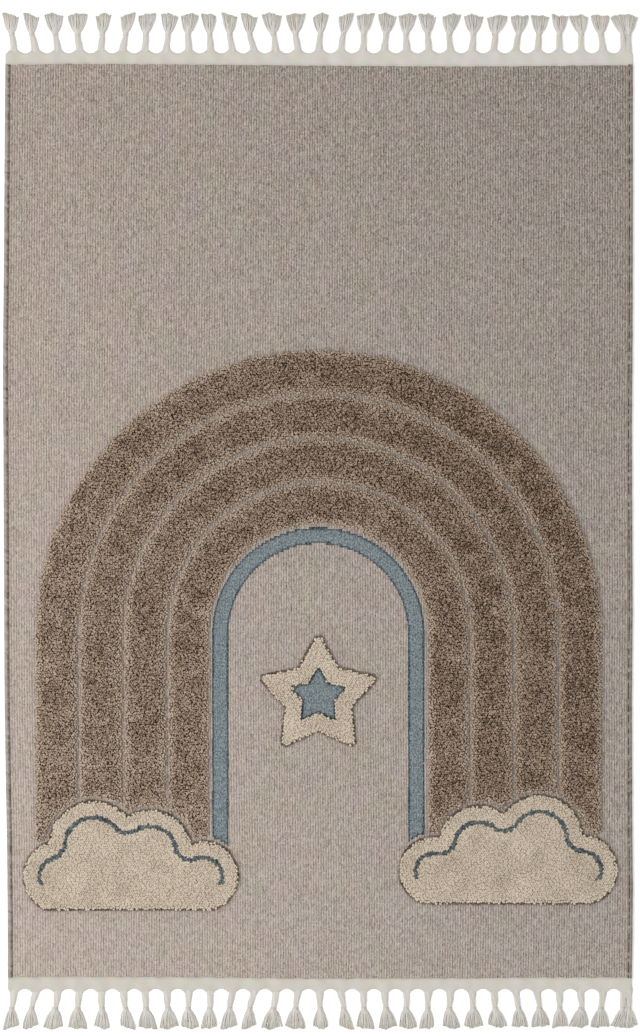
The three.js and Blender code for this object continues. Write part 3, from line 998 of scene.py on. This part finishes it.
def cloud_pieces(cream, blue):
    """Each cloud is one bed of tufts, of which those on its line are blue."""
    made = []
    for number, cloud in enumerate(CLOUDS):
        rng = np.random.default_rng(SEEDS["cloud"] + number)
        depth = partial(cloud_depth, cloud=cloud)
        box = box_of_cloud(cloud)
        x, y = places_in(depth, box, CREAM_YARN, rng)
        lined = cloud_line_depth(x, y, cloud) > 0
        part = pile_part(x[~lined], y[~lined], depth, box, CREAM_YARN, rng, outline=depth)
        made.append(make_piece(f"pile_cloud_{cloud['name']}", part, cream))
        line = tuft_part(x[lined], y[lined], depth, LINE_YARN, rng)
        made.append(make_piece(f"line_cloud_{cloud['name']}", line, blue))
    return made


def star_piece(cloth):
    rng = np.random.default_rng(SEEDS["star"])
    box = box_of_star(STAR_TIP + STAR_BOX_MARGIN)
    x, y = places_in(star_frame_depth, box, STAR_YARN, rng)
    outline = partial(star_depth, share=1)
    part = pile_part(x, y, star_frame_depth, box, STAR_YARN, rng, outline)
    return make_piece("pile_star", part, cloth)


# Flat blue weave, a little proud of the ground's ribs, with a darker contour of painted shade
FLAT_RISE = 0.35
FLAT_ROW = 4.4
FLAT_SUNK = 0.8
FLAT_TONE = 0.5
FLAT_CONTOUR = 3.4
CONTOUR_PAINTED_SHADE = 0.2


def flat_piece(name, depth, box, cloth):
    low_x, low_y, high_x, high_y = box
    y = np.arange(low_y, high_y, FLAT_ROW)[:, None]
    x, drop = rib_columns(y)
    kept = (x.max(0) > low_x) & (x.min(0) < high_x)
    x = x[:, kept]
    y = y + 0 * x
    ground = ground_height(x, y, drop[kept])
    points, faces = cell_slab(x, y, ground - FLAT_SUNK, ground + FLAT_RISE, depth, 0)
    inside = depth(points[:, 0], points[:, 1])
    # Painted shade along the contour
    tones = np.where(inside < FLAT_CONTOUR, CONTOUR_PAINTED_SHADE, FLAT_TONE)
    part = Part(points, faces, [True], tones, flat_map(points, faces))
    return make_piece(name, part, cloth)


# Overcast edging: stitches side by side over a flat-bottomed roll, each bulging from its mean, with
# painted shade in the grooves between them
STITCH = 4.5
STATIONS_A_STITCH = 2
STITCH_BULGE = 0.1
STITCH_MEAN = 0.7
STITCH_SLANT = 0.35
STITCH_SPECKLE = 0.08
STITCH_GROOVE_SHADE = 0.12
EDGING_WOBBLE = 0.03
EDGING_OUT = (-1, -1.05, -0.72, -0.66, -0.3, -0.23, -0.1, 0.6, 0.93, 1, 0.75, 0, -0.75)
EDGING_UP = (0.5, 0.72, 0.9, 0.92, 0.98, 0.98, 1, 0.94, 0.76, 0.5, 0, 0, 0)

# Tone across each edging, from its inner side to its outer one, the yarn's own with painted shade at
# the left one's inner side and the right one's outer flank, and how much its dashes darken it
EDGING_ACROSS = EDGING_OUT[1:10]
EDGING_TONES_AND_SHADE = {
    -1: (0.36, 0.34, 0.36, 0.44, 0.48, 0.57, 0.6, 0.38, 0.32),
    1: (0.48, 0.48, 0.44, 0.44, 0.5, 0.52, 0.36, 0.2, 0.18),
}
EDGING_DASHES = {
    -1: (0.1, 0.15, 0.2, 0.15, 0.05, 0, 0, 0, 0),
    1: (0, 0.05, 1, 1, 0.05, 0, 0, 0, 0),
}
DASH_SHARPNESS = 0.9


def edging_piece(side, cloth):
    """side is -1 for the left and 1 for the right."""
    rng = np.random.default_rng(SEEDS["edging"] + side)
    stitches = round(CLOTH_LENGTH / STITCH)
    stations = stitches * STATIONS_A_STITCH + 1
    share = np.arange(stations) / (stations - 1)
    corner = side * RUG_WIDTH / 2
    y = np.interp(share, (0, 1), (-end_line(corner, -1), end_line(corner, 1)))
    centre = side_edge(y, side) - side * EDGING_WIDTH / 2
    outward, up = np.array([EDGING_OUT, EDGING_UP])[:, ::side]
    phase = share[:, None] * stitches - STITCH_SLANT * outward
    ridge = np.abs(np.sin(pi * phase))
    wobble = 1 + EDGING_WOBBLE * waves(y, 0 * y, length=30, seed=5 + side)[:, None]
    size = (1 + STITCH_BULGE * (ridge - STITCH_MEAN)) * wobble
    x = centre[:, None] + side * EDGING_WIDTH / 2 * outward * size
    points = np.stack([x, y[:, None] + 0 * x, EDGING_THICK * up * size], -1)
    shade = rng.normal(0, STITCH_SPECKLE, stitches + 2)
    stitch = np.clip(np.floor(phase + 0.5).astype(int), 0, stitches + 1)
    # Random tone for each stitch, and painted shade in the grooves between stitches
    tone = shade[stitch] - STITCH_GROOVE_SHADE * (1 - ridge) ** 2
    # Painted shade at the left edging's inner side and the right one's outer flank
    tone = tone + np.interp(outward, EDGING_ACROSS, EDGING_TONES_AND_SHADE[side])
    dash = 0.5 + DASH_SHARPNESS * waves(y, 0 * y, length=14, seed=9 + side)
    dashes = np.interp(outward, EDGING_ACROSS, EDGING_DASHES[side])
    tone = tone - np.clip(dash, 0, 1)[:, None] * dashes
    name = "left" if side < 0 else "right"
    part = strip_part(points, tone)
    return make_piece(f"overcast_edging_{name}", part, cloth, f"side_edging_{name}")


# Tape and tassels
COLUMNS_A_TASSEL = 16
TAPE_UNEVEN = 0.04
TAPE_TONE = 0.63
TAPE_TONE_WAVE = 0.05
# Painted light: the tape and tassels are lighter to the right and at the top end, to even out the
# key light's falloff
TAPE_PAINTED_LIGHT_RIGHT = 0.12
TOP_END_PAINTED_LIGHT = 0.03

# The tape's edge is hollowed between the tassels, deepest midway but for the last hollow, which
# the twin tassels fill, and its corners are rounded
VALLEY_DEPTH = {1: 1.4, -1: 1.8}
VALLEY_STEEP = 16
LAST_VALLEY = 0.8
CORNER_DROP = 3
CORNER_LENGTH = 1.5

# Section of the tape from the cloth outwards, whose lip over the cloth's end has these points
TAPE_OUT = (0, 0, -0.04, -0.04, 0.03, 0.15, 0.4, 0.75, 0.95, 1, 1)
TAPE_UP = (0, 1.55, 1.62, 1.7, 1.75, 1.3, 1, 1, 1, 0.6, 0)
TAPE_LIP = slice(2, 5)
TAPE_LIP_UNEVEN = 0.5
TAPE_LIP_DARKER = 0.15


def tape_part(side):
    left, right = (side_edge(side * CLOTH_LENGTH / 2, edge) for edge in (-1, 1))
    columns = round((right - left) / TASSEL_PITCH * COLUMNS_A_TASSEL) + 1
    x = np.linspace(left, right, columns)
    from_first = (x - FIRST_TASSEL_X) / TASSEL_PITCH
    valley = 2 * np.abs(from_first - np.round(from_first))
    last = from_first > len(TASSEL_FORMS)
    valley = np.where(last, np.minimum(valley, LAST_VALLEY), valley)
    rise = np.minimum(SCALLOP_DEPTH, VALLEY_STEEP * (1 - valley) ** 2 - VALLEY_DEPTH[side])
    rise = rise - CORNER_DROP * np.exp(-np.minimum(x - left, right - x) / CORNER_LENGTH)
    near = end_line(x, side) + PIECE_GAP
    far = CLOTH_LENGTH / 2 + PIECE_GAP + TAPE_WIDTH + rise
    y = near[:, None] + (far - near)[:, None] * TAPE_OUT
    x = x[:, None] + 0 * y
    lip = np.zeros(len(TAPE_OUT))
    lip[TAPE_LIP] = 1
    y = y + TAPE_LIP_UNEVEN * lip * waves(x, 0 * y, length=19, seed=42 + side)
    thick = TAPE_THICK * (1 + TAPE_UNEVEN * waves(x, y, length=25, seed=40 + side))
    points = np.stack([x, side * y, thick * TAPE_UP], -1)
    # Painted light at the top end and to the right, to even out the key light's falloff
    tone = TAPE_TONE + TOP_END_PAINTED_LIGHT * side - TAPE_LIP_DARKER * lip
    tone = tone + TAPE_PAINTED_LIGHT_RIGHT * x / RUG_WIDTH
    tone = tone + TAPE_TONE_WAVE * waves(x, side * y, length=30, seed=44)
    return strip_part(points, tone, flip=side > 0)


STEM_RINGS = 14
STEM_SIDES = 14
STEM_SWAY = 0.7
STEM_SWAY_LENGTH = 9

# Each stem is a few strands that twist about it, some more than others, with painted shade in the
# grooves between them
STEM_LOBES = 4
STEM_LOBE = 0.1
STEM_FLAW = 0.03
STEM_TWISTS = (0.0225, 0.0675)
STEM_TONE = 0.68
STEM_GROOVE_SHADE = 0.1
STEM_SPECKLE = 0.02

# Random phases run from nought to this
PHASE = 6


def stem_part(side, rng):
    """Twisted stems, flat underneath, that narrow to the neck."""
    along = np.linspace(STEM_ALONG[0], STEM_ALONG[-1], STEM_RINGS)
    width = np.interp(along, STEM_ALONG, STEM_WIDTHS)
    height = np.interp(along, STEM_ALONG, STEM_HEIGHTS)[:, None]
    tones, points = [], []
    angles = tau * np.arange(STEM_SIDES) / STEM_SIDES
    for each in TASSELS:
        lean = each.neck * np.maximum(0, along / STEM_LENGTH)
        sway = STEM_SWAY * np.sin(along / STEM_SWAY_LENGTH + rng.uniform(0, PHASE)) * (along > 0)
        turned = angles + rng.uniform(0, PHASE)
        turned = turned + along[:, None] * rng.uniform(*STEM_TWISTS)
        groove = np.cos(STEM_LOBES * turned)
        lobe = 1 + STEM_LOBE * groove + STEM_FLAW * np.cos(2 * turned + 1)
        x = np.cos(angles) * lobe * (width * each.share / 2)[:, None]
        z = np.maximum((0.5 + 0.5 * np.sin(angles) * lobe) * height, 0)
        middle = each.x + lean + sway
        y = TASSEL_START + along[:, None] + 0 * x
        points.append(np.stack([middle[:, None] + x, side * y, z], -1))
        # Painted shade in the grooves between the strands
        tones.append(STEM_TONE + STEM_GROOVE_SHADE * groove + rng.normal(0, STEM_SPECKLE))
    return tube_part(np.stack(points), np.stack(tones), STEM_COLUMNS, flip=side < 0)


# Yarns: how many to a millimetre of the fan's width, half the width of one, and how much wider
# those of the lower and of the upper layer are
YARNS_A_MM = 34 / 33
YARN_HALF = 0.95
YARN_SIDES = 4
YARN_WIDTHS = (0.85, 1.15)
LAYER_WIDTHS = (1.9, 1.1)
TIP_NARROWER = 0.4

# Where each yarn bends, and beyond the neck half the spread of the yarns there, as a share of the
# fan's width
YARN_ALONG = np.array([28, 34.5, 40, 49, 61, 71.5, 72.2])
FAN_HALVES = np.array([0.135, 0.25, 0.35, 0.44, 0.4821875, 0.485])

# At these places along a tassel, the share of the fan's lean and the height of the yarns' bundle
BUNDLE_ALONG = (NECK_ALONG, 48, TASSEL_LENGTH)
BUNDLE_LEAN = (0, 0.5, 1)
BUNDLE_HEIGHT = (2.8, 1.8, 0.9)

# How uneven yarns are in their order, their length and their waves
SHORT_ACROSS = (-0.75, -0.25, 0.25, 0.75)
ORDER_UNEVEN = 0.05
LENGTH_UNEVEN = 1.1
YARN_STRAY = 0.9
YARN_WAVE = 0.7
YARN_WAVE_LENGTH = 5

# How far the outer yarns lie inside the neck, how high the lower layer is and how much it rises
# to the tips, and how round the upper one is across the fan
NECK_INSET = 0.57
LOWER_HEIGHT = 0.9025
LOWER_RISE = 0.2
FAN_ROUND = 0.75
FAN_ROUND_LEAST = 0.1

# Tones of the yarns, with painted shade in the lower layer and at the sides of the fan, and darker
# towards the tips
YARN_TONE = 0.82
YARN_PAINTED_LIGHT_RIGHT = 0.03
YARN_SPECKLE = 0.07
LOWER_LAYER_SHADE = 0.03
TIP_DARKER = 0.13
FAN_SIDE_SHADE = 0.09


def yarn_paths(each, side, rng):
    """Middles, half widths and tones along each loose yarn of one tassel."""
    count = round(YARNS_A_MM * each.width)
    layer = np.arange(count) % 2
    rank = (np.arange(count) + 0.5) / count * 2 - 1
    rank = rank + rng.normal(0, ORDER_UNEVEN, count)
    short = np.interp(rank, SHORT_ACROSS, each.short)
    reach = TASSEL_LENGTH - short - np.abs(rng.normal(0, LENGTH_UNEVEN, count))
    scale = (reach - NECK_ALONG) / (TASSEL_LENGTH - NECK_ALONG)
    beyond = np.maximum(0, YARN_ALONG - NECK_ALONG)
    along = np.minimum(YARN_ALONG, NECK_ALONG) + beyond * scale[:, None]
    half = np.array([NECK_WIDTH / 2 * each.share - NECK_INSET, *FAN_HALVES * each.width])
    middle = each.neck * np.minimum(1, YARN_ALONG / STEM_LENGTH)
    middle = middle + (each.fan - each.neck) * np.interp(YARN_ALONG, BUNDLE_ALONG, BUNDLE_LEAN)
    loose = beyond / (TASSEL_LENGTH - NECK_ALONG)
    phase = rng.uniform(0, PHASE, (count, 1))
    wave = YARN_WAVE * loose * np.sin(YARN_ALONG / YARN_WAVE_LENGTH + phase)
    rank = rank[:, None]
    x = each.x + middle + rank * half + wave + rng.normal(0, YARN_STRAY, (count, 1)) * loose
    bundle = np.interp(YARN_ALONG, BUNDLE_ALONG, BUNDLE_HEIGHT)
    upper = LOWER_HEIGHT + bundle * np.sqrt(np.clip(1 - FAN_ROUND * rank**2, FAN_ROUND_LEAST, 1))
    z = np.where(layer[:, None] == 1, upper, LOWER_HEIGHT + LOWER_RISE * loose)
    path = np.stack([x, side * (TASSEL_START + along), z], -1)
    wide = YARN_HALF * (1 - TIP_NARROWER * (YARN_ALONG >= TASSEL_LENGTH))
    wide = wide * rng.uniform(*YARN_WIDTHS, (count, 1)) * np.take(LAYER_WIDTHS, layer)[:, None]
    # Painted light to the right and at the top end, to even out the key light's falloff
    tone = YARN_TONE + YARN_PAINTED_LIGHT_RIGHT * each.x / RUG_WIDTH + TOP_END_PAINTED_LIGHT * side
    # Painted shade in the lower layer and, below, at the fan's sides; the tips are greyer
    tone = tone - LOWER_LAYER_SHADE * (layer[:, None] == 0) + rng.normal(0, YARN_SPECKLE, (count, 1))
    darker = TIP_DARKER * (loose**4 + loose**12) + FAN_SIDE_SHADE * rank**4
    return path, wide, tone - darker


def yarn_part(side, rng):
    """The loose yarns of each tassel, in two layers that spread from the neck to the tips."""
    made = zip(*(yarn_paths(each, side, rng) for each in TASSELS))
    paths, wides, tones = (np.concatenate(group) for group in made)
    along = np.gradient(paths, axis=1)
    across = np.stack([along[..., 1], -along[..., 0], 0 * wides], -1)
    across /= np.linalg.norm(across, axis=-1, keepdims=True)
    angles = tau * (np.arange(YARN_SIDES) + 0.5) / YARN_SIDES
    points = paths[:, :, None] + across[:, :, None] * (wides[..., None] * np.cos(angles))[..., None]
    points[..., 2] += np.minimum(wides, YARN_HALF)[..., None] * np.sin(angles)
    return tube_part(points, tones[..., None], YARN_COLUMNS)


def fringe_pieces(side, cloth):
    """The tape of the bottom (-1) or top (1) end, and its tassels."""
    rng = np.random.default_rng(SEEDS["fringe"] + side)
    end = "top" if side > 0 else "bottom"
    node = f"tassel_tape_{end}"
    parts = [stem_part(side, rng), yarn_part(side, rng)]
    return [
        make_piece(f"tape_{end}", tape_part(side), cloth, node),
        make_piece(f"tassels_{end}", joined(parts, [STEM_ROWS, YARN_ROWS]), cloth, node),
    ]


# Floor, light and camera. The floor's sizes are in metres.
FLOOR_REACH = 20
FLOOR_LEVEL = -0.0002


def lay_floor():
    cloth = Cloth("pale_floor", roughness=0.9, sheen=0.0, tint=(1, 1, 1))
    cloth.shader.inputs["Base Color"].default_value = (0.97, 0.97, 0.97, 1)
    mesh = bpy.data.meshes.new("floor")
    corners = [(-1, -1), (1, -1), (1, 1), (-1, 1)]
    corners = [(x * FLOOR_REACH, y * FLOOR_REACH, FLOOR_LEVEL) for x, y in corners]
    mesh.from_pydata(corners, [], [(0, 1, 2, 3)])
    mesh.materials.append(cloth.material)
    add_object("floor", mesh)


def place_lights():
    """An even pale sky, and a large soft light from the upper left."""
    world = bpy.data.worlds.new("studio")
    bpy.context.scene.world = world
    world.use_nodes = True
    sky = world.node_tree.nodes["Background"]
    sky.inputs["Color"].default_value = (1.0, 0.99, 0.98, 1)
    sky.inputs["Strength"].default_value = 0.95
    light = bpy.data.lights.new("key", "AREA")
    light.shape = "DISK"
    light.size = 2.6
    light.energy = 100
    light.color = (1.0, 0.985, 0.965)
    key = add_object("key", light)
    key.location = (-2.9, -0.5, 3.3)
    key.rotation_euler = (-key.location).to_track_quat("-Z", "Y").to_euler()


def place_camera():
    data = bpy.data.cameras.new("camera")
    data.sensor_width = SENSOR
    data.lens = SENSOR * CAMERA_HEIGHT / VIEW_HEIGHT
    data.clip_end = 50
    camera = add_object("camera", data)
    camera.location = (VIEW_MIDDLE[0] * MM, VIEW_MIDDLE[1] * MM, CAMERA_HEIGHT * MM)
    bpy.context.scene.camera = camera
    bpy.context.scene.view_settings.view_transform = "Standard"


place_camera()
lay_floor()
place_lights()

ground = make_piece("ribbed_ground", ground_part(), ground_weave())
brown = brown_pile()
cream = cream_pile()
blue = blue_weave()
edging = edging_yarn()
white = tassel_yarn()
small_star_depth = partial(star_depth, share=STAR_HOLLOW)
on_cloth = [
    *rainbow_pieces(brown),
    *cloud_pieces(cream, blue),
    star_piece(cream),
    flat_piece("flat_arch", partial(arch_depth, band=FLAT_ARCH), box_of_band(FLAT_ARCH), blue),
    flat_piece("flat_star", small_star_depth, box_of_star(HOLLOW_REACH), blue),
    edging_piece(-1, edging),
    edging_piece(1, edging),
    *fringe_pieces(1, white),
    *fringe_pieces(-1, white),
]
